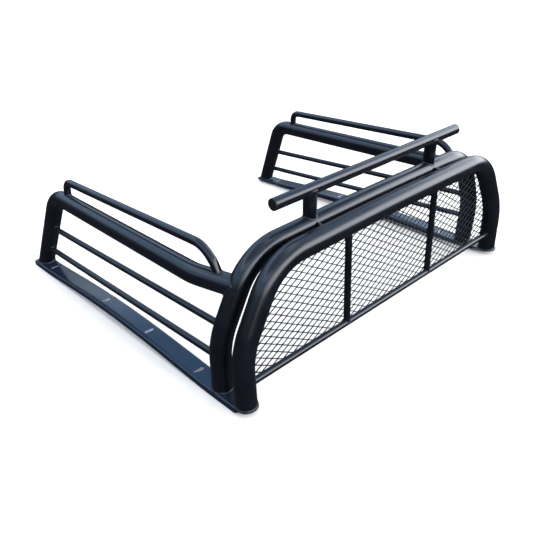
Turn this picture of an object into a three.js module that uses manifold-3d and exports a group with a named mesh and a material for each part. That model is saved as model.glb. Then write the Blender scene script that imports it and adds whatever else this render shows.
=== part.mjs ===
import * as THREE from "three";
import { mergeVertices } from "three/addons/utils/BufferGeometryUtils.js";
import Module from "manifold-3d";

// A headache rack for a pick-up bed: two tube hoops behind the cab, the front one filled with expanded metal,
// a light bar on the rear one, and a side rail along each side of the bed. Millimetres, +Z up, +Y towards the
// tailgate. The origin is in the middle of the base, on the surface that the base plates stand on.

// Tubes: outside diameter, wall, and the number of sides of the faceted section
const hoopTube = { od: 76, wall: 2.5, sides: 16 };
const railTube = { od: 31.8, wall: 2, sides: 10 };
const barTube = { od: 25.4, wall: 2, sides: 10 };
const lightTube = { od: 42.4, wall: 2.5, sides: 12 };
const postTube = { od: 48.3, wall: 3, sides: 12 };

const gap = 0.3; // left between pieces that touch
const bendStep = THREE.MathUtils.degToRad(13); // the most that one facet of a bend turns

// Base plates: pressed channels with the open side down, humped between their ends. The front end is flat and
// round, under the guard hoop's foot, and has no flange. The flange towards the bed is the shallower one.
const plateX = 763; // centreline of each plate from the middle of the rack
const plateWidth = 80;
const plateEnds = { front: -831, rear: 838 };
const outerFlange = { front: -782, edge: 0, rise: 30 }; // the lower edge's height, and its rise at the hump
const bedFlange = { front: -746, edge: 12, rise: 12 };
const plateThickness = 5;
const plateHeight = 24; // at the ends
const plateHump = { from: -620, to: 700, top: 28, fullness: 0.6, facets: 14 };
const plateCornerRadius = 8;
const slot = { length: 38, width: 10, places: [-528, -196, 144, 672] };

// Hoops, by the axis of the tube
const hoopTopZ = 504;
const hoopCrown = 8; // how much higher the middle of the top run is than its ends
const hoopBends = { kink: 300, corner: 200, crown: 20000 };
const guardShape = { footX: 762, footY: -787, kinkZ: 232, cornerX: 611, topY: -800 };
const mainShape = { footX: 760, footY: -657, kinkZ: 226, cornerX: 619, topY: -700 };

// Guard infill
const bottomBarZ = 100;
const dividerX = 257;
const meshSheet = { thickness: 2, longPitch: 86, shortPitch: 52, strand: 6, overlap: 20 };

// Side rails, by the axis of the tube on the right-hand side
const rearFoot = new THREE.Vector3(757, 786, plateHeight);
const rearCorner = new THREE.Vector3(706, 571, 409);
const frontBend = new THREE.Vector3(714, -506, 401);
const sideFrontZ = 399; // where the side tube meets the main hoop
const sideBends = { corner: 130, front: 300 };
const upperBarZ = { rear: 234, front: 272 };
const lowerBarZ = { rear: 110, front: 154 };
const topRailCorners = [
  new THREE.Vector3(702, 452, 409),
  new THREE.Vector3(697, 442, 506),
  new THREE.Vector3(691, -579, 515),
  new THREE.Vector3(689, -622, 400),
];
const topRailBends = { rear: 45, front: 110 };

// Light bar and its posts, which lean on with the rear hoop
const lightBarY = -709;
const lightBarZ = 640;
const lightBarHalfLength = 520;
const postX = 348;
const cap = { thickness: 3, spigot: 14, fit: 1 };

// Bolted clamps between the hoops, under the posts
const tab = { thickness: 6, height: 40, length: 22 };
const bolt = { shank: 10, hole: 10.8, headAcrossFlats: 17, head: 6.4, nut: 8, tail: 3 };
const washer = { od: 20, thickness: 2 };
const roundSides = 12; // sides of a bolt's shank, a washer and their holes

const hoopRadius = hoopTube.od / 2;
const barRadius = barTube.od / 2;
const farAway = 2000; // reaches past the whole rack

const wasm = await Module();
wasm.setup();

// A closed geometry as a solid that can be joined and cut.
function solidOf(geometry) {
  const bare = geometry.clone().deleteAttribute("normal").deleteAttribute("uv");
  const merged = mergeVertices(bare, 1e-3);
  const triVerts = new Uint32Array(merged.index.array);
  return new wasm.Manifold(
    new wasm.Mesh({ numProp: 3, vertProperties: merged.attributes.position.array, triVerts }),
  );
}

function geometryOf(solid) {
  const { vertProperties, triVerts } = solid.getMesh();
  const shared = new THREE.BufferGeometry();
  shared.setAttribute("position", new THREE.BufferAttribute(new Float32Array(vertProperties), 3));
  shared.setIndex(new THREE.BufferAttribute(triVerts, 1));
  const flat = shared.toNonIndexed();
  flat.computeVertexNormals();
  return flat;
}

const rack = new THREE.Group();

const blackSteel = { color: 0x14161a, roughness: 0.34, metalness: 0.35 };
const zincSteel = { color: 0x2b2d31, roughness: 0.42, metalness: 0.8 };
const blackPlastic = { color: 0x0d0e10, roughness: 0.6, metalness: 0 };

function add(name, solid, look = blackSteel) {
  const mesh = new THREE.Mesh(geometryOf(solid), new THREE.MeshStandardMaterial(look));
  mesh.name = name;
  rack.add(mesh);
}

const sideName = (side) => (side < 0 ? "left" : "right");
const onSide = (point, side) => new THREE.Vector3(side * point.x, point.y, point.z);

// A path of straight runs and round bends. A straight run is one step and a bend is several, so a tube along
// it has facets only where it turns.
class BentPath extends THREE.Curve {
  constructor(corners, radii) {
    super();
    const last = corners.length - 1;
    const along = corners.slice(1).map((corner, i) => corner.clone().sub(corners[i]).normalize());
    this.stations = [{ point: corners[0], tangent: along[0] }];
    for (let i = 1; i < last; i++) this.addBend(corners[i], along[i - 1], along[i], radii[i - 1]);
    this.stations.push({ point: corners[last], tangent: along[last - 1] });
  }

  addBend(corner, into, out, radius) {
    const angle = into.angleTo(out);
    const inward = out.clone().addScaledVector(into, -Math.cos(angle)).normalize();
    const start = corner.clone().addScaledVector(into, -radius * Math.tan(angle / 2));
    const steps = Math.ceil(angle / bendStep);
    for (let i = 0; i <= steps; i++) {
      const turned = (angle * i) / steps;
      const point = start.clone().addScaledVector(into, radius * Math.sin(turned));
      point.addScaledVector(inward, radius * (1 - Math.cos(turned)));
      const tangent = into.clone().multiplyScalar(Math.cos(turned));
      tangent.addScaledVector(inward, Math.sin(turned));
      this.stations.push({ point, tangent });
    }
  }

  get steps() {
    return this.stations.length - 1;
  }

  getPointAt(share, target = new THREE.Vector3()) {
    return target.copy(this.stations[Math.round(share * this.steps)].point);
  }

  getTangentAt(share, target = new THREE.Vector3()) {
    return target.copy(this.stations[Math.round(share * this.steps)].tangent);
  }
}

function ring(radius, sides) {
  return Array.from({ length: sides }, (_, i) => {
    const angle = (2 * Math.PI * (i + 0.5)) / sides;
    return new THREE.Vector2(radius * Math.cos(angle), radius * Math.sin(angle));
  });
}

function sweep(path, section) {
  return solidOf(new THREE.ExtrudeGeometry(section, { steps: path.steps, extrudePath: path }));
}

// A hollow tube along a path.
function tubeAlong(path, { od, wall, sides }) {
  const section = new THREE.Shape(ring(od / 2, sides));
  section.holes.push(new THREE.Path(ring(od / 2 - wall, sides)));
  return sweep(path, section);
}

// The space that a tube takes up, with the gap that its neighbours keep from it.
function roomOf(path, { od, sides }) {
  return sweep(path, new THREE.Shape(ring(od / 2 + gap, sides)));
}

const straight = (from, to) => new BentPath([from, to], []);

// The point at a height on the first rising stretch of a tube's axis.
function atHeight(corners, z) {
  const above = Math.max(1, corners.findIndex((corner) => corner.z >= z));
  const [low, high] = [corners[above - 1], corners[above]];
  return low.clone().lerp(high, (z - low.z) / (high.z - low.z));
}

function plainExtrusion(shape, depth, curveSegments = 8) {
  return new THREE.ExtrudeGeometry(shape, { depth, curveSegments, bevelEnabled: false });
}

// Everything below the tops of the base plates' ends, which a foot is cut off at.
const belowFeet = solidOf(
  new THREE.BoxGeometry(farAway, farAway, farAway).translate(0, 0, plateHeight + gap - farAway / 2),
);

// ---- hoops ----

function hoopCorners({ footX, footY, kinkZ, cornerX, topY }) {
  const lean = (topY - footY) / (hoopTopZ - plateHeight);
  const at = (x, z) => new THREE.Vector3(x, footY + lean * (z - plateHeight), z);
  const climb = (side) => [at(side * footX, 0), at(side * footX, kinkZ), at(side * cornerX, hoopTopZ)];
  return [...climb(-1), at(0, hoopTopZ + hoopCrown), ...climb(1).reverse()];
}

function hoopPath(corners) {
  const { kink, corner, crown } = hoopBends;
  return new BentPath(corners, [kink, corner, crown, corner, kink]);
}

const guardCorners = hoopCorners(guardShape);
const mainCorners = hoopCorners(mainShape);
const guardPath = hoopPath(guardCorners);
const mainPath = hoopPath(mainCorners);
const guardRoom = roomOf(guardPath, hoopTube);
const mainRoom = roomOf(mainPath, hoopTube);

add("guard_hoop", tubeAlong(guardPath, hoopTube).subtract(belowFeet));
add("main_hoop", tubeAlong(mainPath, hoopTube).subtract(belowFeet));

// The guard hoop leans a little towards the cab, and its infill leans with it.
const guardLean = Math.atan2(guardShape.footY - guardShape.topY, hoopTopZ - plateHeight);
const guardPoint = (x, z) => {
  const { y } = atHeight(guardCorners, z);
  return new THREE.Vector3(x, y, z);
};

// ---- guard infill ----

const bottomBarPath = straight(
  guardPoint(-guardShape.footX, bottomBarZ),
  guardPoint(guardShape.footX, bottomBarZ),
);
const bottomBarRoom = roomOf(bottomBarPath, barTube);
add("guard_bottom_bar", tubeAlong(bottomBarPath, barTube).subtract(guardRoom));

for (const side of [-1, 1]) {
  const x = side * dividerX;
  const path = straight(guardPoint(x, bottomBarZ), guardPoint(x, hoopTopZ));
  const divider = tubeAlong(path, barTube).subtract(guardRoom).subtract(bottomBarRoom);
  add("guard_divider_" + sideName(side), divider);
}

// Expanded metal as an open lattice of diamonds, longer across than up.
function diamond(x, z, halfLong, halfShort) {
  const shape = new THREE.Shape();
  shape.moveTo(x - halfLong, z);
  shape.lineTo(x, z - halfShort);
  shape.lineTo(x + halfLong, z);
  shape.lineTo(x, z + halfShort);
  return shape;
}

function diamonds() {
  const { longPitch, shortPitch, strand } = meshSheet;
  const [halfLong, halfShort] = [longPitch / 2, shortPitch / 2];
  const inradius = (halfLong * halfShort) / Math.hypot(halfLong, halfShort);
  const open = 1 - strand / 2 / inradius;
  const shapes = [];
  const rows = Math.ceil((hoopTopZ - bottomBarZ) / halfShort);
  const columns = Math.ceil(guardShape.footX / longPitch);
  for (let row = 0; row <= rows; row++) {
    const shift = (row % 2) * halfLong;
    for (let column = -columns; column <= columns; column++) {
      const [x, z] = [column * longPitch + shift, bottomBarZ + row * halfShort];
      shapes.push(diamond(x, z, halfLong * open, halfShort * open));
    }
  }
  return shapes;
}

// The sheet stands upright on the guard's bottom bar, against the back of its bars.
function standUp(geometry) {
  geometry.rotateX(Math.PI / 2);
  geometry.translate(0, barRadius + gap + meshSheet.thickness, -plateHeight);
  geometry.rotateX(guardLean);
  return solidOf(geometry.translate(0, guardShape.footY, plateHeight));
}

function meshOutline() {
  const { footX, kinkZ, cornerX } = guardShape;
  const edge = meshSheet.overlap;
  const half = [
    [footX - edge, bottomBarZ - barRadius],
    [footX - edge, kinkZ],
    [cornerX - edge, hoopTopZ - edge],
  ];
  const mirrored = half.map(([x, z]) => [-x, z]).reverse();
  return new THREE.Shape([...half, ...mirrored].map(([x, z]) => new THREE.Vector2(x, z)));
}

const largest = (solid) => solid.decompose().sort((a, b) => b.volume() - a.volume())[0];
const sheet = standUp(plainExtrusion(meshOutline(), meshSheet.thickness));
const throughSheet = meshSheet.thickness + 2;
const holes = standUp(plainExtrusion(diamonds(), throughSheet).translate(0, 0, -1));
add("mesh_panel", largest(sheet.subtract(holes).subtract(guardRoom)));

// ---- base plates ----

function plateOutline(inset) {
  const half = plateWidth / 2 - inset;
  const [front, rear] = [plateEnds.front + plateWidth / 2, plateEnds.rear - inset];
  const corner = plateCornerRadius - inset;
  const shape = new THREE.Shape();
  shape.absarc(0, front, half, Math.PI, 2 * Math.PI);
  shape.absarc(half - corner, rear - corner, corner, 0, Math.PI / 2);
  shape.absarc(corner - half, rear - corner, corner, Math.PI / 2, Math.PI);
  return shape;
}

// The plate's height above its rest position at a place along it: one smooth hump with a broad top.
function humpAt(y, rise) {
  const share = THREE.MathUtils.clamp((y - plateHump.from) / (plateHump.to - plateHump.from), 0, 1);
  return rise * ((1 - Math.cos(2 * Math.PI * share)) / 2) ** plateHump.fullness;
}

// A block across the plate between two heights that follow the hump.
function humpedBlock(topZ, topRise, edgeZ, edgeRise) {
  const { from, to, facets } = plateHump;
  const inner = Array.from({ length: facets + 1 }, (_, i) => from + ((to - from) * i) / facets);
  const places = [-farAway, ...inner, farAway];
  const heights = (z, rise) => places.map((y) => new THREE.Vector2(y, z + humpAt(y, rise)));
  const outline = [...heights(edgeZ, edgeRise), ...heights(topZ, topRise).reverse()];
  const side = plainExtrusion(new THREE.Shape(outline), 2 * plateWidth);
  side.translate(0, 0, -plateWidth);
  return solidOf(side.rotateX(Math.PI / 2).rotateZ(Math.PI / 2));
}

function slotHole(y) {
  const half = slot.length / 2 - slot.width / 2;
  const shape = new THREE.Shape();
  shape.absarc(half, y, slot.width / 2, -Math.PI / 2, Math.PI / 2);
  shape.absarc(-half, y, slot.width / 2, Math.PI / 2, (3 * Math.PI) / 2);
  return solidOf(plainExtrusion(shape, farAway, 3));
}

// Everything below one flange's lower edge and in front of its end, on one side of the plate.
function belowFlange({ front, edge, rise }, middleX) {
  const block = (x, y, z) => solidOf(new THREE.BoxGeometry(farAway, farAway, farAway).translate(x, y, z));
  const ahead = block(0, front - farAway / 2, plateHeight - plateThickness - farAway / 2);
  return humpedBlock(edge, rise, -farAway, 0).add(ahead).intersect(block(middleX, 0, 0));
}

// The right-hand plate, with the bed on its left. The bed's flange also turns round the rear end.
function basePlate() {
  const outer = solidOf(plainExtrusion(plateOutline(0), farAway));
  const inner = solidOf(plainExtrusion(plateOutline(plateThickness), farAway));
  const body = outer.intersect(humpedBlock(plateHeight, plateHump.top, 0, 0));
  const hollow = humpedBlock(plateHeight - plateThickness, plateHump.top, -farAway, 0);
  const divide = plateWidth / 2 - plateCornerRadius;
  const shell = body
    .subtract(inner.translate(0, 0, -1).intersect(hollow))
    .subtract(belowFlange(bedFlange, divide - farAway / 2))
    .subtract(belowFlange(outerFlange, divide + farAway / 2));
  return slot.places.reduce((plate, y) => plate.subtract(slotHole(y)), shell);
}

for (const side of [-1, 1]) {
  const plate = side < 0 ? basePlate().mirror([1, 0, 0]) : basePlate();
  add(sideName(side) + "_base_plate", plate.translate(side * plateX, 0, 0));
}

// ---- side rails ----

function sideRail(side) {
  const name = sideName(side);
  const hoopClimb = side < 0 ? mainCorners : [...mainCorners].reverse();
  const below = rearFoot.clone().lerp(rearCorner, -0.1);
  const corners = [below, rearCorner, frontBend].map((corner) => onSide(corner, side));
  const path = new BentPath(
    [...corners, atHeight(hoopClimb, sideFrontZ)],
    [sideBends.corner, sideBends.front],
  );
  const tubeRoom = roomOf(path, hoopTube);
  add(name + "_side_tube", tubeAlong(path, hoopTube).subtract(mainRoom).subtract(belowFeet));

  const bars = { upper: upperBarZ, lower: lowerBarZ };
  for (const [level, z] of Object.entries(bars)) {
    const barPath = straight(atHeight(corners, z.rear), atHeight(hoopClimb, z.front));
    const bar = tubeAlong(barPath, barTube).subtract(mainRoom).subtract(tubeRoom);
    add(`${name}_${level}_bar`, bar);
  }

  const railCorners = topRailCorners.map((corner) => onSide(corner, side));
  const railPath = new BentPath(railCorners, [topRailBends.rear, topRailBends.front]);
  add(name + "_top_rail", tubeAlong(railPath, railTube).subtract(tubeRoom));
}

for (const side of [-1, 1]) sideRail(side);

// ---- light bar ----

const lightEnd = lightBarHalfLength - cap.thickness - gap;
const lightBarPath = straight(
  new THREE.Vector3(-lightEnd, lightBarY, lightBarZ),
  new THREE.Vector3(lightEnd, lightBarY, lightBarZ),
);
const lightBarRoom = roomOf(lightBarPath, lightTube);
add("light_bar", tubeAlong(lightBarPath, lightTube));

// A round bar along X from one place to another.
function roundBar(radius, from, to, sides) {
  const geometry = new THREE.CylinderGeometry(radius, radius, to - from, sides);
  return solidOf(geometry.rotateZ(Math.PI / 2).translate((from + to) / 2, 0, 0));
}

function lightBarCap() {
  const spigotRadius = lightTube.od / 2 - lightTube.wall - cap.fit;
  const disc = roundBar(lightTube.od / 2, 0, cap.thickness, lightTube.sides);
  return disc.add(roundBar(spigotRadius, -cap.spigot, 1, lightTube.sides));
}

for (const side of [-1, 1]) {
  const foot = new THREE.Vector3(side * postX, mainShape.topY, hoopTopZ);
  const head = new THREE.Vector3(side * postX, lightBarY, lightBarZ);
  const post = tubeAlong(straight(foot, head), postTube).subtract(mainRoom).subtract(lightBarRoom);
  add("light_post_" + sideName(side), post);
  const turned = lightBarCap().rotate([0, 0, side < 0 ? 180 : 0]);
  const capX = side * (lightBarHalfLength - cap.thickness);
  const placed = turned.translate(capX, lightBarY, lightBarZ);
  add("light_bar_cap_" + sideName(side), placed, blackPlastic);
}

// ---- clamps between the hoops ----

const clampY = (guardShape.topY + mainShape.topY) / 2;
const clampZ = hoopTopZ + hoopCrown * (1 - postX / guardShape.cornerX);
const boltHole = roundBar(bolt.hole / 2, -farAway, farAway, roundSides);

// A hexagonal bar along X with two flats upright.
function hexBar(acrossFlats, from, to) {
  const radius = acrossFlats / Math.sqrt(3);
  const geometry = new THREE.CylinderGeometry(radius, radius, to - from, 6);
  return solidOf(geometry.rotateZ(Math.PI / 2).translate((from + to) / 2, 0, 0));
}

// A tab from one hoop into the space between them. It lies from one place along X to the next.
function clampTab(towards, fromX) {
  const reach = tab.length + hoopRadius;
  const plate = new THREE.BoxGeometry(tab.thickness, reach, tab.height);
  const hoopSurface = (mainShape.topY - guardShape.topY) / 2 - hoopRadius;
  const far = hoopSurface - tab.length;
  plate.translate(fromX + tab.thickness / 2, towards * (far + reach / 2), 0);
  return solidOf(plate).subtract(boltHole);
}

function clamp(side) {
  const name = sideName(side);
  const inPlace = (solid) => {
    const turned = side < 0 ? solid.mirror([1, 0, 0]) : solid;
    return turned.translate(side * postX, clampY, clampZ);
  };
  const put = (piece, solid) => add(`${piece}_${name}`, inPlace(solid), zincSteel);
  const guardTab = clampTab(-1, gap / 2);
  const mainTab = clampTab(1, -tab.thickness - gap / 2);
  add("clamp_guard_tab_" + name, inPlace(guardTab).subtract(guardRoom));
  add("clamp_main_tab_" + name, inPlace(mainTab).subtract(mainRoom));

  const tabFace = tab.thickness + gap / 2;
  const [washerFrom, washerTo] = [tabFace + gap, tabFace + gap + washer.thickness];
  const disc = roundBar(washer.od / 2, washerFrom, washerTo, roundSides).subtract(boltHole);
  put("clamp_nut_washer", disc);
  put("clamp_head_washer", disc.rotate([0, 0, 180]));

  const seat = washerTo + gap;
  const head = hexBar(bolt.headAcrossFlats, -seat - bolt.head, -seat);
  const shankEnd = seat + bolt.nut + bolt.tail;
  put("clamp_bolt", head.add(roundBar(bolt.shank / 2, -seat - 1, shankEnd, roundSides)));
  put("clamp_nut", hexBar(bolt.headAcrossFlats, seat, seat + bolt.nut).subtract(boltHole));
}

for (const side of [-1, 1]) clamp(side);

export default rack;
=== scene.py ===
"""Looks of a pick-up's headache rack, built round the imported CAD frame.

Sizes below are in millimetres, and every mesh is made in metres in the CAD's frame: +Z up, +Y towards the
tailgate, and the origin in the middle of the base.
"""

import math

import bmesh
import bpy
import numpy as np
from mathutils import Matrix, Vector
from mathutils.geometry import delaunay_2d_cdt


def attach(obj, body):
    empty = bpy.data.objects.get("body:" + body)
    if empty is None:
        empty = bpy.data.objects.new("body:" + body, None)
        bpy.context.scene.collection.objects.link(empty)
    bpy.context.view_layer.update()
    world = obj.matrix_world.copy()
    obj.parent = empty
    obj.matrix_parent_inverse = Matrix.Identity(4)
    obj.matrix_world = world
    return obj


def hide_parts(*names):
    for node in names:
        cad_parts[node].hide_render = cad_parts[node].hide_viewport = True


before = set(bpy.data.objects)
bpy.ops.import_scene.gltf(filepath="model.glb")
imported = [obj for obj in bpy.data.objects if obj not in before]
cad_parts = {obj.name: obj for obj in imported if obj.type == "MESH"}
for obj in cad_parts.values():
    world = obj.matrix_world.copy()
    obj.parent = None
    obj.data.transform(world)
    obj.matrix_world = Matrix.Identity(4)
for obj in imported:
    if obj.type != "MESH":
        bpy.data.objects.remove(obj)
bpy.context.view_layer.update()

MM = 0.001
GAP = 0.3
SIDES = ((-1, "left"), (1, "right"))

# ---- sizes, as in the CAD ----

HOOP_R = 38.0
RAIL_R = 15.9
BAR_R = 12.7
LIGHT_R, LIGHT_WALL = 21.2, 2.5
POST_R = 24.15

PLATE_X = 763.0
PLATE_HALF = 40.0
PLATE_FRONT, PLATE_REAR = -831.0, 838.0
PLATE_T = 5.0
PLATE_Z = 24.0
HUMP_FROM, HUMP_TO, HUMP_TOP, HUMP_FULLNESS = -620.0, 700.0, 28.0, 0.6
OUTER_FLANGE = {"front": -782.0, "edge": 0.0, "rise": 30.0}
BED_FLANGE = {"front": -746.0, "edge": 12.0, "rise": 12.0}
FLANGE_TAPER, ROUNDING_RUN = 26.0, 24.0
FINE_TO, FINE_STEP, COARSE_STEP, FILL_STEP = -720.0, 4.0, 12.0, 14.0
PRESSED_ROUND, FRONT_ROUND, REAR_CORNER_R, EDGE_ROUND = 6.5, 1.8, 10.0, 0.9
SLOT_LENGTH, SLOT_WIDTH, SLOT_CHAMFER = 38.0, 10.0, 0.7
SLOT_PLACES = (-528.0, -196.0, 144.0, 672.0)

HOOP_TOP_Z, HOOP_CROWN = 504.0, 8.0
HOOP_BENDS = (300, 200, 20000, 200, 300)
GUARD = {"foot_x": 762, "foot_y": -787, "kink_z": 232, "corner_x": 611, "top_y": -800}
MAIN = {"foot_x": 760, "foot_y": -657, "kink_z": 226, "corner_x": 619, "top_y": -700}

BOTTOM_BAR_Z = 100.0
DIVIDER_X = 257.0
REAR_FOOT, REAR_CORNER, FRONT_BEND = (757, 786, 24), (706, 571, 409), (714, -506, 401)
SIDE_FRONT_Z = 399.0
SIDE_BENDS = (130, 300)
UPPER_BAR_Z, LOWER_BAR_Z = (234, 272), (110, 154)
TOP_RAIL = ((702, 452, 409), (697, 442, 506), (691, -579, 515), (689, -622, 400))
TOP_RAIL_BENDS = (45, 110)
LIGHT_Y, LIGHT_Z, LIGHT_HALF, POST_X = -709.0, 640.0, 520.0, 348.0
CAP_T = 3.0

# ---- small vector helpers ----


def vec(*values):
    return np.array(values, float)


def unit(v):
    return v / np.linalg.norm(v)


def mirrored(points, side):
    return [vec(side * p[0], p[1], p[2]) for p in points]


def on_climb(corners, z):
    """The point at a height on the first rising stretch of a tube's axis."""
    above = max(1, next(i for i, c in enumerate(corners) if c[2] >= z))
    low, high = corners[above - 1], corners[above]
    return low + (high - low) * (z - low[2]) / (high[2] - low[2])


# ---- paths and tubes ----

COPE_STEP, COPE_CLEARANCE = 3.0, 4.0


def bent_path(corners, radii, bend_step=math.radians(2.5), straight_step=60.0):
    """Points and tangents along straight runs joined by round bends."""
    corners = [np.array(c, float) for c in corners]
    along = [unit(b - a) for a, b in zip(corners, corners[1:])]
    points, tangents = [corners[0]], [along[0]]
    for corner, into, out, radius in zip(corners[1:-1], along, along[1:], radii):
        angle = math.acos(np.clip(into @ out, -1, 1))
        inward = unit(out - into * math.cos(angle))
        start = corner - into * radius * math.tan(angle / 2)
        steps = max(4, math.ceil(angle / bend_step))
        for turned in np.linspace(0, angle, steps + 1):
            turn = into * math.sin(turned) + inward * (1 - math.cos(turned))
            points.append(start + radius * turn)
            tangents.append(into * math.cos(turned) + inward * math.sin(turned))
    points.append(corners[-1])
    tangents.append(along[-1])
    filled_p, filled_t = [points[0]], [tangents[0]]
    for p, q, t in zip(points, points[1:], tangents[1:]):
        pieces = max(1, int(np.linalg.norm(q - p) // straight_step))
        for i in range(1, pieces + 1):
            filled_p.append(p + (q - p) * i / pieces)
            filled_t.append(t)
    return np.array(filled_p), np.array(filled_t)


def transported(tangents):
    """Two axes across a path at each of its points, carried along it without twist."""
    first = unit(np.cross(tangents[0], vec(0.31, 0.22, 0.93)))
    across = [first]
    for t in tangents[1:]:
        across.append(unit(across[-1] - t * (across[-1] @ t)))
    across = np.array(across)
    return across, np.cross(tangents, across)


def rings_along(points, tangents, radius, sides):
    a, b = transported(tangents)
    turn = np.linspace(0, 2 * math.pi, sides, endpoint=False)
    around = np.cos(turn)[None, :, None] * a[:, None] + np.sin(turn)[None, :, None] * b[:, None]
    return points[:, None] + radius * around


def distance_to_path(queries, path):
    """Distance from each query point to a path's centreline."""
    a, b = path[:-1], path[1:]
    d = b - a
    rel = queries[:, None] - a[None]
    share = np.clip((rel * d).sum(2) / (d * d).sum(1), 0, 1)
    return np.sqrt(((rel - share[..., None] * d) ** 2).sum(2)).min(1)


def tube_skin(path, radius):
    return lambda q: distance_to_path(q, path) - radius


def plate_skin(q):
    return q[:, 2] - PLATE_Z


def coped(ring, direction, reach, skin):
    """Where the lines of a tube meet its neighbour's surface, or pass it closest."""
    steps = np.arange(0, reach, COPE_STEP)
    lines = ring[None] + steps[:, None, None] * direction
    depth = skin(lines.reshape(-1, 3)).reshape(len(steps), len(ring))
    ends = []
    for i in range(len(ring)):
        inside = np.nonzero(depth[:, i] < 0)[0]
        if len(inside) == 0:
            ends.append(steps[depth[:, i].argmin()])
            continue
        low, high = steps[max(0, inside[0] - 1)], steps[inside[0]]
        for _ in range(14):
            middle = (low + high) / 2
            if skin((ring[i] + middle * direction)[None])[0] < 0:
                high = middle
            else:
                low = middle
        ends.append(low)
    return ring + np.array(ends)[:, None] * direction


class Builder:
    """Collects rings, beads and faces into one mesh."""

    def __init__(self):
        self.verts, self.faces, self.slots = [], [], []
        self.count = 0

    def add(self, verts, faces, slot=0):
        verts = np.asarray(verts, float)
        self.verts.append(verts)
        self.faces += [tuple(i + self.count for i in f) for f in faces]
        self.slots += [slot] * len(faces)
        self.count += len(verts)

    def loft(self, rings, closed=False, capped=True, slot=0):
        """Skin over rings of equal size. Closed joins the last ring to the first one."""
        count, n = len(rings), len(rings[0])
        verts = np.concatenate([np.asarray(r, float) for r in rings])
        faces = []
        for i in range(count if closed else count - 1):
            a, b = i * n, ((i + 1) % count) * n
            faces += [(a + j, a + (j + 1) % n, b + (j + 1) % n, b + j) for j in range(n)]
        if capped and not closed:
            verts = np.concatenate([verts, [np.mean(rings[0], 0)], [np.mean(rings[-1], 0)]])
            last, head, tail = (count - 1) * n, count * n, count * n + 1
            faces += [((j + 1) % n, j, head) for j in range(n)]
            faces += [(last + j, last + (j + 1) % n, tail) for j in range(n)]
        self.add(verts, faces, slot)

    def object(self, name, materials, smooth_angle=35, weld_distance=0.0):
        mesh = bpy.data.meshes.new(name)
        verts = np.concatenate(self.verts) * MM
        mesh.from_pydata(verts.tolist(), [], self.faces)
        mesh.polygons.foreach_set("material_index", self.slots)
        for material in materials:
            mesh.materials.append(material)
        work = bmesh.new()
        work.from_mesh(mesh)
        if weld_distance:
            bmesh.ops.remove_doubles(work, verts=work.verts, dist=weld_distance * MM)
        bmesh.ops.recalc_face_normals(work, faces=work.faces)
        work.to_mesh(mesh)
        work.free()
        mesh.shade_smooth()
        mesh.set_sharp_from_angle(angle=math.radians(smooth_angle))
        made = bpy.data.objects.new(name, mesh)
        bpy.context.scene.collection.objects.link(made)
        return made


def place(piece, slot, *nodes):
    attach(piece, "root")
    if nodes:
        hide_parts(*nodes)
    return piece


def lofted(name, rings, material, slot, node, closed=False):
    """One piece skinned over rings, as the looks of its CAD node."""
    made = Builder()
    made.loft(rings, closed)
    return place(made.object(name, [material]), slot, node)


def tube_rings(corners, radii, radius, sides, start=None, end=None):
    """Rings of a tube whose ends are coped to their neighbours' surfaces."""
    points, tangents = bent_path(corners, radii)
    rings = list(rings_along(points, tangents, radius, sides))
    if start:
        rings, points, tangents = cope_start(rings, points, tangents, radius, start)
    if end:
        rings = cope_start(rings[::-1], points[::-1], -tangents[::-1], radius, end)[0][::-1]
    return rings


def cope_start(rings, points, tangents, radius, skin):
    """Drops the rings that the neighbour swallows, and fits the first one to its surface."""
    first = next(i for i, ring in enumerate(rings) if skin(np.asarray(ring)).min() > COPE_CLEARANCE)
    direction = -tangents[first]
    reach = np.linalg.norm(points[first] - points[0]) + 4 * radius
    edge = coped(np.asarray(rings[first]), direction, reach, skin)
    before = max(first - 1, 0)
    return [edge, *rings[first:]], points[before:], tangents[before:]


# ---- weld beads ----

BEAD_STEP, RIPPLE_PITCH, BEAD_WANDER = 1.1, 4.2, 0.25
beads = {}


def bead(group, loop, radius=3.0, phase=0.0):
    """A rippled bead of weld along a closed line."""
    loop = np.asarray(loop, float)
    closed = np.concatenate([loop, loop[:1]])
    lengths = np.linalg.norm(np.diff(closed, axis=0), axis=1)
    travelled = np.concatenate([[0], np.cumsum(lengths)])
    count = max(24, int(travelled[-1] / BEAD_STEP))
    at = np.linspace(0, travelled[-1], count, endpoint=False)
    points = np.stack([np.interp(at, travelled, closed[:, k]) for k in range(3)], 1)
    smooth = points.copy()
    for _ in range(3):
        smooth = (np.roll(smooth, 1, 0) + 2 * smooth + np.roll(smooth, -1, 0)) / 4
    tangents = np.roll(smooth, -1, 0) - np.roll(smooth, 1, 0)
    tangents /= np.linalg.norm(tangents, axis=1)[:, None]
    centre = smooth.mean(0)
    ripples = max(8, round(travelled[-1] / RIPPLE_PITCH))
    turn = np.linspace(0, 2 * math.pi, 10, endpoint=False)
    rings = []
    for i, (p, t) in enumerate(zip(smooth, tangents)):
        outward = p - centre
        outward = unit(outward - t * (outward @ t))
        other = np.cross(t, outward)
        wave = (i / count * ripples + phase) % 1.0
        size = radius * (0.86 + 0.2 * math.sqrt(max(0.0, 1 - (2 * wave - 1) ** 2)))
        wander = BEAD_WANDER * math.sin(2 * math.pi * (3 * i / count + phase))
        ring = [p + outward * (size * math.cos(a) + wander) + other * size * math.sin(a) for a in turn]
        rings.append(np.array(ring))
    beads.setdefault(group, Builder()).loft(rings, closed=True)


# ---- materials ----


def new_material(name):
    material = bpy.data.materials.new(name)
    material.use_nodes = True
    nodes, links = material.node_tree.nodes, material.node_tree.links
    shader = nodes["Principled BSDF"]
    coords = nodes.new("ShaderNodeTexCoord")
    return material, nodes, links, shader, coords


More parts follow.
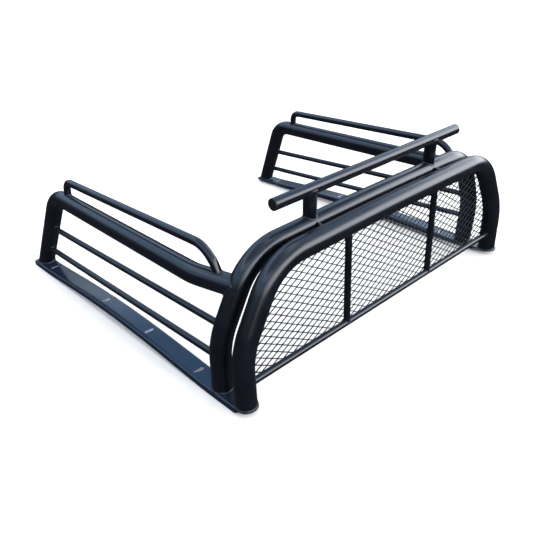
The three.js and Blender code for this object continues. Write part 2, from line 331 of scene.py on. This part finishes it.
def noise(nodes, links, coords, scale, detail=3.0, roughness=0.55):
    made = nodes.new("ShaderNodeTexNoise")
    made.inputs["Scale"].default_value = scale
    made.inputs["Detail"].default_value = detail
    made.inputs["Roughness"].default_value = roughness
    links.new(coords.outputs["Object"], made.inputs["Vector"])
    return made.outputs["Fac"]


def ramp(nodes, links, source, stops):
    made = nodes.new("ShaderNodeValToRGB")
    elements = made.color_ramp.elements
    while len(elements) < len(stops):
        elements.new(0.5)
    for element, (position, value) in zip(elements, stops):
        element.position = position
        element.color = (*value, 1) if isinstance(value, tuple) else (value, value, value, 1)
    links.new(source, made.inputs["Fac"])
    return made.outputs["Color"]


def mixed(nodes, links, share, first, second):
    made = nodes.new("ShaderNodeMix")
    made.data_type = "RGBA"
    links.new(share, made.inputs["Factor"])
    for socket, value in ((made.inputs[6], first), (made.inputs[7], second)):
        if isinstance(value, tuple):
            socket.default_value = (*value, 1)
        else:
            links.new(value, socket)
    return made.outputs[2]


def bump(nodes, links, shader, height, strength, distance, under=None):
    made = nodes.new("ShaderNodeBump")
    made.inputs["Strength"].default_value = strength
    made.inputs["Distance"].default_value = distance
    links.new(height, made.inputs["Height"])
    if under is not None:
        links.new(under, made.inputs["Normal"])
    links.new(made.outputs["Normal"], shader.inputs["Normal"])
    return made.outputs["Normal"]


def powder_coat(name, dark, light, gloss, peel, dust):
    """Black powder coat: orange peel, cloudy gloss, and a breath of dust where the surface faces up.

    Gloss is the middle roughness, peel the strength of the orange peel, and dust the most that settles.
    """
    material, nodes, links, shader, coords = new_material(name)
    cloud = noise(nodes, links, coords, 7.0, 4.0)
    base = mixed(nodes, links, ramp(nodes, links, cloud, ((0.35, 0.0), (0.7, 1.0))), dark, light)
    geometry = nodes.new("ShaderNodeNewGeometry")
    split = nodes.new("ShaderNodeSeparateXYZ")
    links.new(geometry.outputs["Normal"], split.inputs["Vector"])
    speckle = noise(nodes, links, coords, 130.0, 6.0, 0.7)
    settled = nodes.new("ShaderNodeMath")
    settled.operation = "MULTIPLY"
    links.new(ramp(nodes, links, split.outputs["Z"], ((0.55, 0.0), (1.0, dust))), settled.inputs[0])
    links.new(ramp(nodes, links, speckle, ((0.4, 0.3), (0.75, 1.0))), settled.inputs[1])
    dusty = mixed(nodes, links, settled.outputs[0], base, (0.30, 0.33, 0.37))
    links.new(dusty, shader.inputs["Base Color"])
    smudge = noise(nodes, links, coords, 16.0, 5.0, 0.6)
    rough = ramp(nodes, links, smudge, ((0.3, gloss - 0.035), (0.72, gloss + 0.06)))
    links.new(rough, shader.inputs["Roughness"])
    coarse = bump(nodes, links, shader, noise(nodes, links, coords, 260.0, 2.0), peel, 0.0006)
    bump(nodes, links, shader, noise(nodes, links, coords, 1100.0, 2.0), peel * 0.8, 0.0002, coarse)
    shader.inputs["IOR"].default_value = 1.52
    return material


def metal(name, dark, light, rough_low, rough_high, scale=90.0):
    """Plated or bare steel with a mottled finish and fine scratches."""
    material, nodes, links, shader, coords = new_material(name)
    mottle = noise(nodes, links, coords, scale, 5.0, 0.65)
    colour = mixed(nodes, links, ramp(nodes, links, mottle, ((0.3, 0.0), (0.7, 1.0))), dark, light)
    links.new(colour, shader.inputs["Base Color"])
    links.new(ramp(nodes, links, mottle, ((0.25, rough_low), (0.75, rough_high))), shader.inputs["Roughness"])
    shader.inputs["Metallic"].default_value = 0.9
    bump(nodes, links, shader, noise(nodes, links, coords, 900.0, 4.0), 0.15, 0.0003)
    return material


def moulded(name):
    """Matt black moulded plastic with a fine grain."""
    material, nodes, links, shader, coords = new_material(name)
    patch = noise(nodes, links, coords, 40.0, 3.0)
    share = ramp(nodes, links, patch, ((0.35, 0.0), (0.7, 1.0)))
    colour = mixed(nodes, links, share, (0.003, 0.003, 0.0035), (0.007, 0.007, 0.008))
    links.new(colour, shader.inputs["Base Color"])
    links.new(ramp(nodes, links, patch, ((0.3, 0.42), (0.7, 0.55))), shader.inputs["Roughness"])
    bump(nodes, links, shader, noise(nodes, links, coords, 1400.0, 3.0), 0.35, 0.0003)
    return material


tube_coat = powder_coat("tube_powder_coat", (0.0016, 0.0022, 0.0036), (0.0038, 0.005, 0.0075),
                        gloss=0.21, peel=0.10, dust=0.02)
plate_coat = powder_coat("plate_powder_coat", (0.004, 0.008, 0.016), (0.008, 0.014, 0.026),
                         gloss=0.17, peel=0.10, dust=0.03)
mesh_coat = powder_coat("mesh_powder_coat", (0.003, 0.004, 0.006), (0.007, 0.008, 0.011),
                        gloss=0.34, peel=0.2, dust=0.0)
weld_coat = powder_coat("weld_powder_coat", (0.005, 0.006, 0.009), (0.012, 0.015, 0.020),
                        gloss=0.22, peel=0.3, dust=0.03)
zinc = metal("dark_zinc", (0.030, 0.032, 0.038), (0.085, 0.088, 0.100), 0.28, 0.46)
# Slot walls: bare steel, made bright and blue-tinted as a painted highlight of the sky reflected in the
# punched walls.
slot_wall_highlight_steel = metal("slot_wall_painted_highlight", (0.42, 0.46, 0.55), (0.62, 0.67, 0.78), 0.28, 0.5, 60.0)
plastic = moulded("moulded_plastic")

# ---- hoops ----


def hoop_corners(shape):
    lean = (shape["top_y"] - shape["foot_y"]) / (HOOP_TOP_Z - PLATE_Z)

    def at(x, z):
        return vec(x, shape["foot_y"] + lean * (z - PLATE_Z), z)

    def climb(side):
        return [at(side * shape["foot_x"], 0), at(side * shape["foot_x"], shape["kink_z"]),
                at(side * shape["corner_x"], HOOP_TOP_Z)]

    return [*climb(-1), at(0, HOOP_TOP_Z + HOOP_CROWN), *climb(1)[::-1]]


guard_corners, main_corners = hoop_corners(GUARD), hoop_corners(MAIN)
guard_axis = bent_path(guard_corners, HOOP_BENDS)[0]
main_axis = bent_path(main_corners, HOOP_BENDS)[0]
guard_skin, main_skin = tube_skin(guard_axis, HOOP_R), tube_skin(main_axis, HOOP_R)

for name, corners in (("guard_hoop", guard_corners), ("main_hoop", main_corners)):
    rings = tube_rings(corners, HOOP_BENDS, HOOP_R, 56, plate_skin, plate_skin)
    bead("hoop_feet", rings[0], 3.6, 0.1)
    bead("hoop_feet", rings[-1], 3.6, 0.6)
    lofted(name + "_tube", rings, tube_coat, "black_steel", name)

# ---- guard infill ----

guard_lean = (GUARD["top_y"] - GUARD["foot_y"]) / (HOOP_TOP_Z - PLATE_Z)


def guard_point(x, z, behind=0.0):
    """A point on the guard's leaning plane, or behind it."""
    return vec(x, GUARD["foot_y"] + guard_lean * (z - PLATE_Z) + behind, z)


bottom_ends = [guard_point(side * GUARD["foot_x"], BOTTOM_BAR_Z) for side, _ in SIDES]
bottom_skin = tube_skin(np.array(bottom_ends), BAR_R)
rings = tube_rings(bottom_ends, (), BAR_R, 32, guard_skin, guard_skin)
lofted("guard_bottom_bar_tube", rings, tube_coat, "black_steel", "guard_bottom_bar")
bead("guard", rings[0], 2.6)
bead("guard", rings[-1], 2.6, 0.4)

for side, word in SIDES:
    ends = [guard_point(side * DIVIDER_X, BOTTOM_BAR_Z), guard_point(side * DIVIDER_X, HOOP_TOP_Z)]
    rings = tube_rings(ends, (), BAR_R, 32, bottom_skin, guard_skin)
    lofted(f"guard_divider_{word}_tube", rings, tube_coat, "black_steel", f"guard_divider_{word}")
    bead("guard", rings[0], 2.4)
    bead("guard", rings[-1], 2.6, 0.3)

# Expanded metal: zigzag strands, one above the other, that meet at their bonds.
LONG_PITCH, SHORT_PITCH = 50.0, 30.5
STRAND_W, STRAND_T, STRAND_TILT, BOND = 3.9, 2.0, math.radians(14), 3.0
SHEET_BEHIND = BAR_R + 1.6
SHEET_LOW, FIRST_STRAND_UP, SHEET_EMBED = 90.0, 3.0, 5.0


def strand_line(row):
    """The corners of one zigzag strand as (x, z)."""
    z = SHEET_LOW + FIRST_STRAND_UP + row * SHORT_PITCH / 2
    rise = (SHORT_PITCH / 2 - STRAND_W * 0.86) / 2
    half = math.ceil(GUARD["foot_x"] / LONG_PITCH) * 2
    line = []
    for i in range(-half, half + 1):
        level = z + (rise if (i + row) % 2 else -rise)
        middle = i * LONG_PITCH / 2
        line += [(middle - BOND / 2, level), (middle + BOND / 2, level)]
    fine = []
    for (xa, za), (xb, zb) in zip(line, line[1:]):
        pieces = 1 if za == zb else 4
        fine += [(xa + (xb - xa) * k / pieces, za + (zb - za) * k / pieces) for k in range(pieces)]
    return fine + [line[-1]]


def inside_outline(x, z, outline):
    """Which points lie inside a closed outline, by counting crossings."""
    inside = np.zeros(len(x), bool)
    for (xa, za), (xb, zb) in zip(outline, np.roll(outline, -1, 0)):
        crosses = (za > z) != (zb > z)
        with np.errstate(divide="ignore", invalid="ignore"):
            inside ^= crosses & (x < (xb - xa) * (z - za) / (zb - za) + xa)
    return inside


def add_strand(builder, points):
    points = np.array(points)
    ahead = np.diff(points, axis=0)
    ahead /= np.linalg.norm(ahead, axis=1)[:, None]
    tangents = np.concatenate([ahead[:1], ahead[:-1] + ahead[1:], ahead[-1:]])
    tangents /= np.linalg.norm(tangents, axis=1)[:, None]
    facing = unit(vec(0, 1, -guard_lean))
    rings = []
    for p, t in zip(points, tangents):
        up = np.cross(t, facing)
        wide = up * math.cos(STRAND_TILT) + facing * math.sin(STRAND_TILT)
        thick = np.cross(t, wide)
        w, d = wide * STRAND_W / 2, thick * STRAND_T / 2
        rings.append(np.array([p - w - d, p + w - d, p + w + d, p - w + d]))
    builder.loft(rings)


sheet = Builder()
outline = guard_axis[:, [0, 2]]
for row in range(int((HOOP_TOP_Z - SHEET_LOW) / (SHORT_PITCH / 2)) + 1):
    line = np.array(strand_line(row))
    points = np.array([guard_point(x, z, SHEET_BEHIND) for x, z in line])
    keep = inside_outline(line[:, 0], line[:, 1], outline)
    keep &= distance_to_path(points, guard_axis) > HOOP_R - SHEET_EMBED
    run = []
    for point, kept in [*zip(points, keep), (None, False)]:
        if kept:
            run.append(point)
            continue
        if len(run) > 1:
            add_strand(sheet, run)
        run = []
place(sheet.object("expanded_metal", [mesh_coat], smooth_angle=20), "black_steel", "mesh_panel")

# ---- base plates ----


def hump(y, rise):
    """A smooth hump with a broad top."""
    share = min(max((y - HUMP_FROM) / (HUMP_TO - HUMP_FROM), 0), 1)
    return rise * ((1 - math.cos(2 * math.pi * share)) / 2) ** HUMP_FULLNESS


def rounding(y):
    """How much of the pressed edge's rounding a place has: little on the flat front end."""
    settled = min(max((y - PLATE_FRONT - PLATE_HALF) / ROUNDING_RUN, 0), 1)
    return (FRONT_ROUND + (PRESSED_ROUND - FRONT_ROUND) * settled) / PRESSED_ROUND


def plate_outline(inset, share=lambda y: 1.0):
    """The right-hand plate's outline in plan, from the front round end and round the rear corners."""
    front, rear = PLATE_FRONT + PLATE_HALF, PLATE_REAR - inset
    half, nose = PLATE_HALF - inset, PLATE_HALF - inset * share(front)
    corner = max(REAR_CORNER_R - inset, 1.0)
    places = [*np.arange(front + FINE_STEP, FINE_TO, FINE_STEP),
              *np.arange(FINE_TO, rear - corner - COARSE_STEP / 2, COARSE_STEP)]
    points = [(nose * math.cos(a), front + nose * math.sin(a)) for a in np.linspace(math.pi, 2 * math.pi, 61)]
    points += [(PLATE_HALF - inset * share(y), y) for y in places]
    for cx, start in ((half - corner, 0.0), (corner - half, math.pi / 2)):
        turn = np.linspace(start, start + math.pi / 2, 9)
        points += [(cx + corner * math.cos(a), rear - corner + corner * math.sin(a)) for a in turn]
    return points + [(inset * share(y) - PLATE_HALF, y) for y in places[::-1]]


def slot_outline(y, grow=0.0):
    radius = SLOT_WIDTH / 2 + grow
    half = SLOT_LENGTH / 2 - SLOT_WIDTH / 2
    right = [(half + radius * math.cos(a), radius * math.sin(a))
             for a in np.linspace(-math.pi / 2, math.pi / 2, 11)]
    return [(x, y + dy) for x, dy in right] + [(-x, y - dy) for x, dy in right]


def fill_between(outer, holes, height, inner_half):
    """Triangles over an outline with holes, with inner points so that the sheet follows its hump."""
    verts, edges = [], []
    for loop in (outer, *holes):
        start = len(verts)
        verts += [Vector(p) for p in loop]
        edges += [(start + i, start + (i + 1) % len(loop)) for i in range(len(loop))]
    for y in np.arange(PLATE_FRONT + 24, PLATE_REAR - 10, FILL_STEP):
        for x in np.linspace(-inner_half * 0.72, inner_half * 0.72, 5):
            if all(abs(y - c) > SLOT_WIDTH / 2 + 3 or abs(x) > SLOT_LENGTH / 2 + 3 for c in SLOT_PLACES):
                if math.hypot(x, min(0, y - PLATE_FRONT - PLATE_HALF)) < inner_half - 3:
                    verts.append(Vector((x, y)))
    filled, _, faces, *_ = delaunay_2d_cdt(verts, edges, [], 1, 1e-4)
    placed = [(p.x, p.y, height(p.y)) for p in filled]
    kept = []
    for face in faces:
        cx, cy = (sum(filled[i][k] for i in face) / len(face) for k in (0, 1))
        in_slot = any(abs(cy - c) < SLOT_WIDTH / 2 and abs(cx) < SLOT_LENGTH / 2 - abs(cy - c) * 0.3
                      and point_in(cx, cy, hole) for c, hole in zip(SLOT_PLACES, holes))
        if not in_slot:
            kept.append(tuple(face))
    return placed, kept


def point_in(x, y, loop):
    return bool(inside_outline(np.array([x]), np.array([y]), np.array(loop))[0])


def top_z(y):
    return PLATE_Z + hump(y, HUMP_TOP)


def under_z(y):
    return top_z(y) - PLATE_T


def edge_z(x, y):
    """The flange's lower edge. The bed's flange also turns round the rear end, up to the outer corner."""
    edges = []
    for flange in (BED_FLANGE, OUTER_FLANGE):
        grown = min(max((y - flange["front"]) / FLANGE_TAPER + 0.5, 0), 1)
        full = flange["edge"] + hump(y, flange["rise"])
        edges.append((under_z(y) - 0.6) * (1 - grown) + full * grown)
    share = min(max((x - PLATE_HALF + REAR_CORNER_R) / 3, 0), 1)
    return edges[0] + (edges[1] - edges[0]) * share


def base_plate(side):
    builder = Builder()
    lift = [(EDGE_ROUND, 0.0), (0.25, 0.25), (0.0, EDGE_ROUND)]
    rings = [[(x, y, edge_z(x, y) + up) for x, y in plate_outline(inset)] for inset, up in lift]
    for angle in np.linspace(0, math.pi / 2, 9):
        inset, drop = PRESSED_ROUND * (1 - math.cos(angle)), PRESSED_ROUND * (1 - math.sin(angle))
        rings.append([(x, y, max(top_z(y) - drop * rounding(y), edge_z(x, y) + EDGE_ROUND))
                      for x, y in plate_outline(inset, rounding)])
    builder.loft(rings, capped=False)
    inner = [[(x, y, edge_z(x, y) + up) for x, y in plate_outline(inset)]
             for inset, up in ((EDGE_ROUND, 0.0), (PLATE_T - EDGE_ROUND, 0.0), (PLATE_T, 0.5))]
    inner.append([(x, y, under_z(y)) for x, y in plate_outline(PLATE_T)])
    builder.loft(inner, capped=False)
    holes = [slot_outline(y, SLOT_CHAMFER) for y in SLOT_PLACES]
    top_outline = plate_outline(PRESSED_ROUND, rounding)
    builder.add(*fill_between(top_outline, holes, top_z, PLATE_HALF - PRESSED_ROUND))
    plain = [slot_outline(y) for y in SLOT_PLACES]
    builder.add(*fill_between(plate_outline(PLATE_T), plain, under_z, PLATE_HALF - PLATE_T))
    # The slot walls take the second material: bare steel with a painted highlight.
    for wide, hole in zip(holes, plain):
        walls = [[(x, y, top_z(y)) for x, y in wide],
                 [(x, y, top_z(y) - SLOT_CHAMFER) for x, y in hole],
                 [(x, y, under_z(y)) for x, y in hole]]
        builder.loft(walls, capped=False, slot=1)
    builder.verts = [v * vec(side, 1, 1) + vec(side * PLATE_X, 0, 0) for v in builder.verts]
    return builder


for side, word in SIDES:
    plate = base_plate(side).object(f"{word}_base_plate_sheet", [plate_coat, slot_wall_highlight_steel], 30, 0.002)
    place(plate, "black_steel", f"{word}_base_plate")

# ---- side rails ----

for side, word in SIDES:
    climb = main_corners[:3] if side < 0 else main_corners[:-4:-1]
    foot, corner = vec(*REAR_FOOT), vec(*REAR_CORNER)
    below = foot - 0.1 * (corner - foot)
    corners = [*mirrored([below, corner, FRONT_BEND], side), on_climb(climb, SIDE_FRONT_Z)]
    axis = bent_path(corners, SIDE_BENDS)[0]
    side_skin = tube_skin(axis, HOOP_R)
    group = word + "_side"

    rings = tube_rings(corners, SIDE_BENDS, HOOP_R, 56, plate_skin, main_skin)
    lofted(f"{word}_side_tube_bent", rings, tube_coat, "black_steel", f"{word}_side_tube")
    bead(group, rings[0], 3.6, 0.2)
    bead(group, rings[-1], 3.4, 0.5)

    for level, (rear_z, front_z) in (("upper", UPPER_BAR_Z), ("lower", LOWER_BAR_Z)):
        ends = [on_climb(corners, rear_z), on_climb(climb, front_z)]
        rings = tube_rings(ends, (), BAR_R, 32, side_skin, main_skin)
        lofted(f"{word}_{level}_bar_tube", rings, tube_coat, "black_steel", f"{word}_{level}_bar")
        bead(group, rings[0], 2.8, 0.7)
        bead(group, rings[-1], 2.8, 0.1)

    rings = tube_rings(mirrored(TOP_RAIL, side), TOP_RAIL_BENDS, RAIL_R, 36, side_skin, side_skin)
    lofted(f"{word}_top_rail_tube", rings, tube_coat, "black_steel", f"{word}_top_rail")
    bead(group, rings[0], 2.8, 0.3)
    bead(group, rings[-1], 2.8, 0.8)

# ---- light bar ----

light_end = LIGHT_HALF - CAP_T - GAP
light_axis = np.array([vec(-light_end, LIGHT_Y, LIGHT_Z), vec(light_end, LIGHT_Y, LIGHT_Z)])
light_skin = tube_skin(light_axis, LIGHT_R)
points, tangents = bent_path(light_axis, ())
outer = rings_along(points, tangents, LIGHT_R, 48)
inner = rings_along(points, tangents, LIGHT_R - LIGHT_WALL, 48)
lofted("light_bar_tube", [*outer, *inner[::-1]], tube_coat, "black_steel", "light_bar", closed=True)


def turned_about_x(profile, centre, facing, sides=48):
    """Rings of a round piece along X. The profile is (distance along X, radius) from its middle outwards."""
    turn = np.linspace(0, 2 * math.pi, sides, endpoint=False)
    return [np.array([centre + vec(facing * along, radius * math.cos(a), radius * math.sin(a)) for a in turn])
            for along, radius in profile]


for side, word in SIDES:
    centre = vec(side * (LIGHT_HALF - CAP_T), LIGHT_Y, LIGHT_Z)
    skirt = LIGHT_R - LIGHT_WALL - 0.4
    spigot = [(-14, skirt - 2.5), (-14, skirt - 0.8), (-13, skirt), (-0.3, skirt)]
    rim = [(0, LIGHT_R - 0.6), (0.4, LIGHT_R), (1.4, LIGHT_R), (2.3, LIGHT_R - 0.5), (2.8, LIGHT_R - 1.6)]
    dished = [(CAP_T, LIGHT_R - 3.2), (CAP_T, LIGHT_R - 6.0), (2.5, LIGHT_R - 6.8), (2.4, 6.0), (2.4, 1.0)]
    rings = turned_about_x([*spigot, *rim, *dished], centre, side)
    lofted(f"light_bar_cap_{word}_insert", rings, plastic, "black_plastic", f"light_bar_cap_{word}")

    ends = [vec(side * POST_X, MAIN["top_y"], HOOP_TOP_Z), vec(side * POST_X, LIGHT_Y, LIGHT_Z)]
    rings = tube_rings(ends, (), POST_R, 44, main_skin, light_skin)
    lofted(f"light_post_{word}_tube", rings, tube_coat, "black_steel", f"light_post_{word}")
    bead("light_bar", rings[0], 3.2, 0.2)
    bead("light_bar", rings[-1], 3.0, 0.6)

# ---- clamps between the hoops ----

TAB_T, TAB_H, TAB_L = 6.0, 40.0, 22.0
TAB_CORNER, TAB_CHAMFER, TAB_EMBED = 9.0, 0.7, 10.0
BOLT_R, HOLE_R, FLATS, HEAD, NUT, TAIL = 5.0, 5.4, 17.0, 6.4, 8.0, 3.0
HEX_CHAMFER = 1.3
WASHER_R, WASHER_T = 10.0, 2.0
THREAD_PITCH, THREAD_DEPTH = 1.5, 0.8
CLAMP_Y = (GUARD["top_y"] + MAIN["top_y"]) / 2
CLAMP_Z = HOOP_TOP_Z + HOOP_CROWN * (1 - POST_X / GUARD["corner_x"])


def hex_rings(across, start, stop, chamfer, sides=48):
    """A hexagonal bar along X whose far corners are turned off."""
    rings = []
    flat_r, corner = across / 2, across / math.sqrt(3)
    places = ((start, flat_r), (start + 0.25, corner), (stop - chamfer, corner), (stop, flat_r * 0.96))
    for along, limit in places:
        ring = []
        for i in range(sides):
            a = 2 * math.pi * i / sides
            flat = flat_r / math.cos((a + math.pi / 6) % (math.pi / 3) - math.pi / 6)
            radius = min(flat, limit)
            ring.append((along, radius * math.cos(a), radius * math.sin(a)))
        rings.append(ring)
    return rings


def facing_clamp(rings, side):
    centre = vec(side * POST_X, CLAMP_Y, CLAMP_Z)
    return [np.array([centre + vec(side * p[0], p[1], p[2]) for p in ring]) for ring in rings]


def round_rings(profile, sides=40):
    turn = np.linspace(0, 2 * math.pi, sides, endpoint=False)
    return [[(along, r * math.cos(a), r * math.sin(a)) for a in turn] for along, r in profile]


def tab_rings(towards, from_x, side):
    """A flat tab from a hoop into the space between the two, with rounded corners at its free end."""
    far = (MAIN["top_y"] - GUARD["top_y"]) / 2 - HOOP_R - TAB_L
    root, half = far + TAB_L + TAB_EMBED, TAB_H / 2

    def outline(inset):
        r = TAB_CORNER - inset
        points = []
        for cz, start in ((half - TAB_CORNER, 0.5), (TAB_CORNER - half, 1.0)):
            turn = np.linspace(start * math.pi, (start + 0.5) * math.pi, 9)
            points += [(far + TAB_CORNER + r * math.cos(a), cz + r * math.sin(a)) for a in turn]
        return [*points, (root, inset - half), (root, half - inset)]

    steps = ((0, TAB_CHAMFER), (TAB_CHAMFER, 0), (TAB_T - TAB_CHAMFER, 0), (TAB_T, TAB_CHAMFER))
    rings = [[(from_x + along, towards * y, z) for y, z in outline(inset)] for along, inset in steps]
    return facing_clamp(rings, side)


for side, word in SIDES:
    for towards, name, from_x in ((-1, "guard", GAP / 2), (1, "main", -TAB_T - GAP / 2)):
        rings = tab_rings(towards, from_x, side)
        node = f"clamp_{name}_tab_{word}"
        lofted(node + "_plate", rings, tube_coat, "black_steel", node)
    near = TAB_T + GAP / 2 + GAP
    far = near + WASHER_T
    washer = [(near, HOLE_R), (near, WASHER_R - 0.3), (near + 0.3, WASHER_R),
              (far - 0.3, WASHER_R), (far, WASHER_R - 0.4), (far, HOLE_R)]
    for name, turned in (("nut", 1), ("head", -1)):
        rings = facing_clamp(round_rings([(turned * along, radius) for along, radius in washer]), side)
        node = f"clamp_{name}_washer_{word}"
        lofted(node + "_disc", rings, zinc, "zinc_steel", node, closed=True)
    seat = far + GAP
    bolt = Builder()
    head = hex_rings(FLATS, seat, seat + HEAD, HEX_CHAMFER)
    bolt.loft(facing_clamp([[(-x, y, z) for x, y, z in ring] for ring in head], side))
    shank_end = seat + 1.0
    thread = [(-seat + 0.2, BOLT_R), (shank_end, BOLT_R)]
    for k in range(int((NUT + TAIL - 2.2) / THREAD_PITCH * 2)):
        thread.append((shank_end + (k + 1) * THREAD_PITCH / 2, BOLT_R - (0 if k % 2 else THREAD_DEPTH)))
    thread.append((seat + NUT + TAIL, BOLT_R - 1.2))
    bolt.loft(facing_clamp(round_rings(thread), side))
    place(bolt.object(f"clamp_bolt_{word}_hex", [zinc]), "zinc_steel", f"clamp_bolt_{word}")
    nut = hex_rings(FLATS, seat, seat + NUT, HEX_CHAMFER)
    hole = round_rings([(seat + NUT, HOLE_R + 0.3), (seat + NUT - 0.6, HOLE_R - 0.1),
                        (seat + 0.6, HOLE_R - 0.1), (seat, HOLE_R + 0.3)], 48)
    rings = facing_clamp([*nut, *hole], side)
    lofted(f"clamp_nut_{word}_hex", rings, zinc, "zinc_steel", f"clamp_nut_{word}", closed=True)

for group, builder in beads.items():
    place(builder.object(f"weld_beads_{group}", [weld_coat], 60), "black_steel")

# ---- floor, light and camera ----


FLOOR_HALF, FLOOR_DROP = 30.0, 0.0005
GLOW_FROM, SKY_STRENGTH = (0.58, -0.81, 0.0), 10.0
CAMERA_AT, CAMERA_LENS, SENSOR = (-1.6579, -2.0053, 1.3538), 38.54, 36.0
CAMERA_AZIMUTH, CAMERA_ELEVATION, CAMERA_ROLL = -41.07, 29.26, -3.96


def pale_floor():
    mesh = bpy.data.meshes.new("floor")
    corners = [(x * FLOOR_HALF, y * FLOOR_HALF, 0) for x, y in ((-1, -1), (1, -1), (1, 1), (-1, 1))]
    mesh.from_pydata(corners, [], [(0, 1, 2, 3)])
    floor = bpy.data.objects.new("floor", mesh)
    floor.location.z = -FLOOR_DROP
    bpy.context.scene.collection.objects.link(floor)
    material, nodes, links, shader, coords = new_material("pale_floor")
    patch = noise(nodes, links, coords, 0.7, 2.0)
    share = ramp(nodes, links, patch, ((0.3, 0.0), (0.7, 1.0)))
    colour = mixed(nodes, links, share, (0.95, 0.83, 0.69), (0.97, 0.85, 0.71))
    links.new(colour, shader.inputs["Base Color"])
    shader.inputs["Roughness"].default_value = 0.9
    shader.inputs["Specular IOR Level"].default_value = 0.0
    mesh.materials.append(material)
    floor.visible_glossy = False


def soft_sky():
    """A soft dome: bright and pale low in front on the right, blue-grey elsewhere, and dark below."""
    world = bpy.data.worlds.new("soft_sky")
    world.use_nodes = True
    nodes, links = world.node_tree.nodes, world.node_tree.links
    background = nodes["Background"]
    coords = nodes.new("ShaderNodeTexCoord")
    split = nodes.new("ShaderNodeSeparateXYZ")
    links.new(coords.outputs["Generated"], split.inputs["Vector"])
    towards = nodes.new("ShaderNodeVectorMath")
    towards.operation = "DOT_PRODUCT"
    links.new(coords.outputs["Generated"], towards.inputs[0])
    towards.inputs[1].default_value = GLOW_FROM
    glow = ramp(nodes, links, towards.outputs["Value"], ((0.0, 0.0), (0.75, 1.0)))
    left = ramp(nodes, links, split.outputs["Z"], (
        (0.0, (0.005, 0.0055, 0.007)), (0.28, (0.018, 0.020, 0.026)), (0.39, (0.080, 0.108, 0.130)),
        (0.50, (0.080, 0.125, 0.195)), (0.60, (0.040, 0.080, 0.150)), (0.74, (0.19, 0.23, 0.30)),
        (0.84, (0.050, 0.065, 0.095)), (1.0, (0.050, 0.065, 0.095))))
    right = ramp(nodes, links, split.outputs["Z"], (
        (0.0, (0.005, 0.0055, 0.007)), (0.28, (0.018, 0.020, 0.026)), (0.39, (0.105, 0.130, 0.148)),
        (0.50, (0.085, 0.128, 0.190)), (0.60, (0.030, 0.062, 0.115)), (0.78, (0.030, 0.062, 0.115)),
        (1.0, (0.22, 0.26, 0.33))))
    turn = ramp(nodes, links, split.outputs["X"], ((0.05, 0.0), (0.35, 1.0)))
    plain = mixed(nodes, links, turn, left, right)
    bright = ramp(nodes, links, split.outputs["Z"], (
        (0.0, (0.005, 0.0055, 0.007)), (0.03, (0.012, 0.013, 0.015)), (0.16, (0.64, 0.66, 0.71)),
        (0.52, (0.58, 0.61, 0.67)), (0.64, (0.11, 0.14, 0.19)), (0.82, (0.045, 0.055, 0.075)),
        (1.0, (0.20, 0.24, 0.31))))
    links.new(mixed(nodes, links, glow, plain, bright), background.inputs["Color"])
    background.inputs["Strength"].default_value = SKY_STRENGTH
    bpy.context.scene.world = world


def soft_box(name, location, target, size, watts, colour):
    light = bpy.data.lights.new(name, "AREA")
    light.shape, light.size, light.size_y = "RECTANGLE", *size
    light.energy, light.color = watts, colour
    lamp = bpy.data.objects.new(name, light)
    lamp.location = location
    lamp.rotation_euler = (Vector(target) - Vector(location)).to_track_quat("-Z", "Y").to_euler()
    lamp.visible_glossy = False
    bpy.context.scene.collection.objects.link(lamp)


def photo_camera():
    azimuth, elevation = math.radians(CAMERA_AZIMUTH), math.radians(CAMERA_ELEVATION)
    roll, flat = math.radians(CAMERA_ROLL), math.cos(elevation)
    back = Vector((math.sin(azimuth) * flat, -math.cos(azimuth) * flat, math.sin(elevation)))
    level = Vector((math.cos(azimuth), math.sin(azimuth), 0))
    upright = back.cross(level)
    right = level * math.cos(roll) + upright * math.sin(roll)
    up = upright * math.cos(roll) - level * math.sin(roll)
    data = bpy.data.cameras.new("photo_camera")
    data.lens, data.sensor_width = CAMERA_LENS, SENSOR
    camera = bpy.data.objects.new("photo_camera", data)
    turn = Matrix((right, up, back)).transposed().to_4x4()
    camera.matrix_world = Matrix.Translation(CAMERA_AT) @ turn
    bpy.context.scene.collection.objects.link(camera)
    bpy.context.scene.camera = camera


pale_floor()
soft_sky()
soft_box("overhead", (0.0, 0.3, 3.4), (0, 0, 0), (3.0, 3.0), 72, (0.93, 0.96, 1.0))
photo_camera()
bpy.context.scene.view_settings.view_transform = "Standard"
